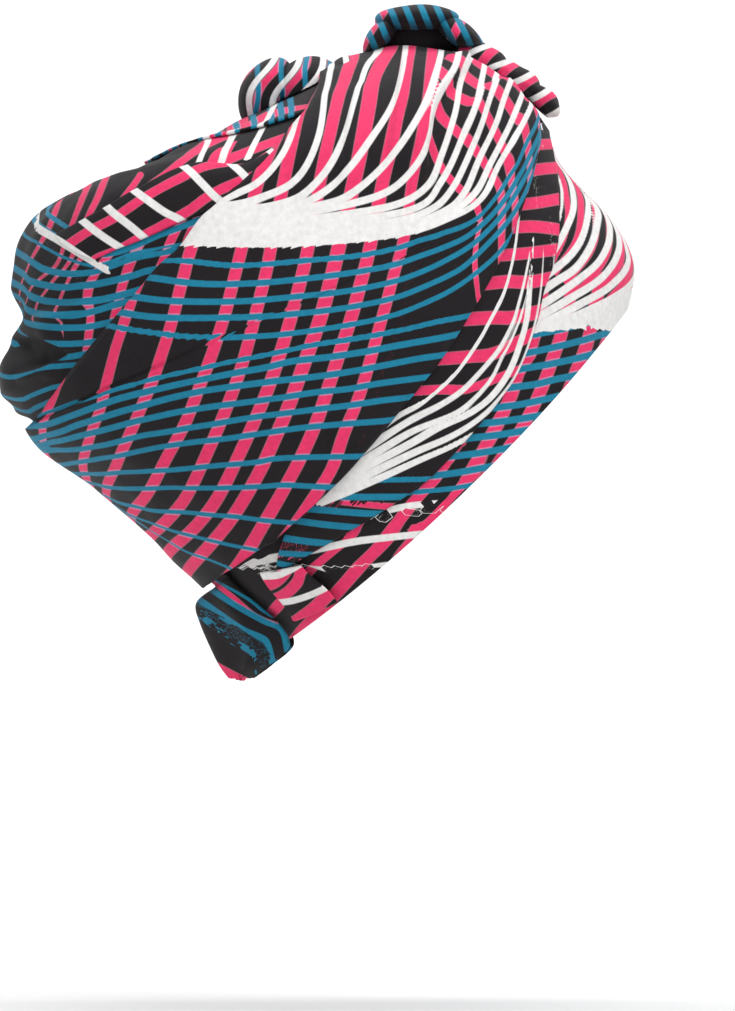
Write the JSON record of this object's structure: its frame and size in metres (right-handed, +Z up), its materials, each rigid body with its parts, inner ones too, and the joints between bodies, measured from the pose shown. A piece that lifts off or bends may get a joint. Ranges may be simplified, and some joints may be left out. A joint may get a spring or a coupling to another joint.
{
  "type": "tied head wrap",
  "caption": "Tied head wrap of striped wax-print cotton: hollow puffed crown, lapped side turns, gathered top with a knob, rear puff and a nape tail.",
  "frame": {"origin": "middle of the inclined rim, where a head goes in", "axes": "+Z up with the head held upright as shown, -Y towards the forehead, +X to the wearer's left"},
  "size_m": [0.237, 0.2663, 0.2824],
  "materials": {
    "printed_cotton": "matt wax-print cotton with a faint sheen"
  },
  "bodies": {
    "root": {"crown_wrap": "printed_cotton", "side_wrap": "printed_cotton", "second_fold_right": "printed_cotton", "second_fold_left": "printed_cotton", "rear_puff": "printed_cotton", "upper_fold": "printed_cotton", "diagonal_fold": "printed_cotton", "band_end": "printed_cotton", "nape_tail": "printed_cotton", "top_knob": "printed_cotton", "rear_roll": "printed_cotton", "front_gather": "printed_cotton"}
  },
  "joints": []
}
